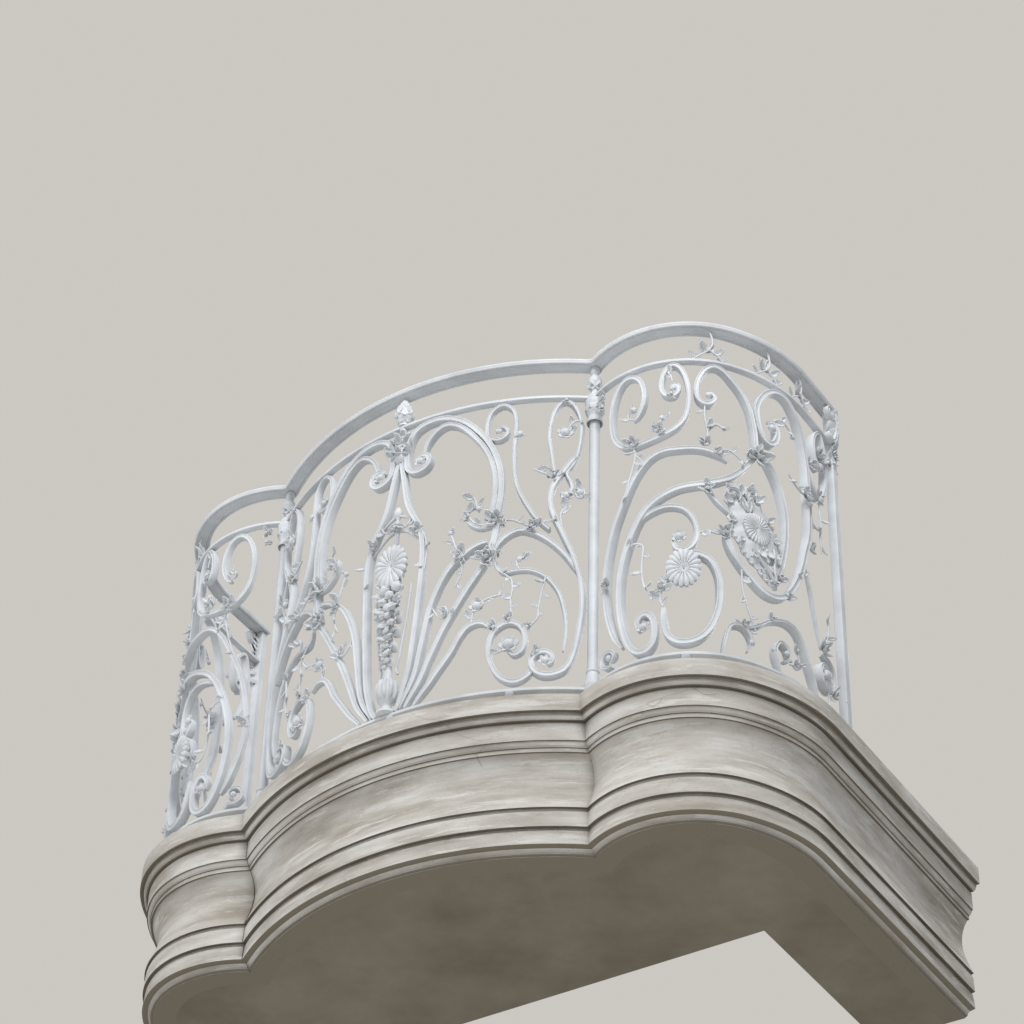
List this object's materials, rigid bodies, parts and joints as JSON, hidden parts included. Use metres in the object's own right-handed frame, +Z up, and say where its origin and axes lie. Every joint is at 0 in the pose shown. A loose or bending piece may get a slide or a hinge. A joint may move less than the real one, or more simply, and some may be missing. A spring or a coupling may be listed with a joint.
{
  "type": "wrought iron balcony",
  "caption": "Three-lobed moulded stone balcony slab with side returns, carrying a white-painted wrought iron railing of scrolls, rosettes, leafy posts and a rounded handrail.",
  "frame": {"origin": "middle of the core's back face, which stands against the wall", "axes": "+X along the wall to the right as seen from the street, +Y into the wall, +Z up"},
  "size_m": [1.8614, 1.225, 1.458],
  "materials": {
    "stone": "matte",
    "iron": "satin"
  },
  "bodies": {
    "root": {"deck_core": "stone", "bow_cornice": "stone", "left_lobe_cornice": "stone", "left_return_cornice": "stone", "right_lobe_cornice": "stone", "right_return_cornice": "stone", "handrail_bow": "iron", "upper_rail_bow": "iron", "bottom_rail_bow": "iron", "ball_feet": "iron", "bow_lyre": "iron", "bow_finial": "iron", "bow_daisy": "iron", "bow_drop": "iron", "left_handrail": "iron", "left_upper_rail": "iron", "left_bottom_rail": "iron", "left_post": "iron", "left_end_post": "iron", "left_bow_scrolls": "iron", "left_bow_arches": "iron", "left_post_scrolls": "iron", "left_top_scrolls": "iron", "left_ring_scroll": "iron", "left_great_scroll": "iron", "left_sweeps": "iron", "left_foot_scrolls": "iron", "left_lobe_daisy": "iron", "left_cartouche": "iron", "right_handrail": "iron", "right_upper_rail": "iron", "right_bottom_rail": "iron", "right_post": "iron", "right_end_post": "iron", "right_bow_scrolls": "iron", "right_bow_arches": "iron", "right_post_scrolls": "iron", "right_top_scrolls": "iron", "right_ring_scroll": "iron", "right_great_scroll": "iron", "right_sweeps": "iron", "right_foot_scrolls": "iron", "right_lobe_daisy": "iron", "right_cartouche": "iron"}
  },
  "joints": []
}
